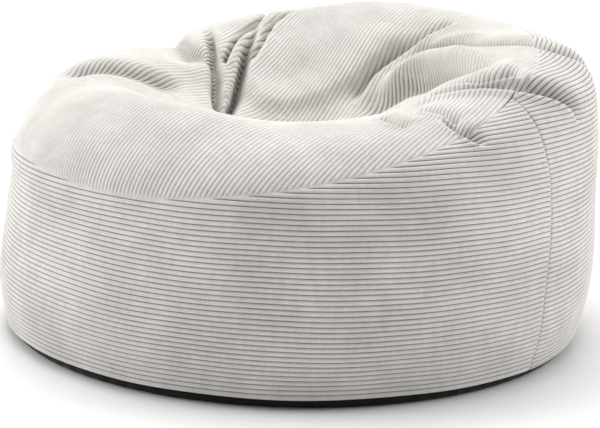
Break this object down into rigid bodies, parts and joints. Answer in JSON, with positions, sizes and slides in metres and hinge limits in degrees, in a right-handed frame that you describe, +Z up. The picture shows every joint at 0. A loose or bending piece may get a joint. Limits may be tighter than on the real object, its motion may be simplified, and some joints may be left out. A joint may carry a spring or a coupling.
{
  "type": "foam bean bag",
  "caption": "Large round corduroy bean bag filled with foam, with a drum side, a pressed-in seat and a raised backrest.",
  "frame": {"origin": "on the floor, under the middle of the bag", "axes": "+Z up; the seat opens towards -Y and the backrest is on the +Y side; +X is the sitter's left"},
  "size_m": [1.0862, 1.0855, 0.5618],
  "materials": {
    "corduroy": "wide-ribbed off-white corduroy, soft short pile, matt with a faint sheen",
    "black_cloth": "plain black woven cloth, matt"
  },
  "bodies": {
    "root": {"top_panel": "corduroy", "side_band": "corduroy", "base_panel": "black_cloth"}
  },
  "joints": []
}
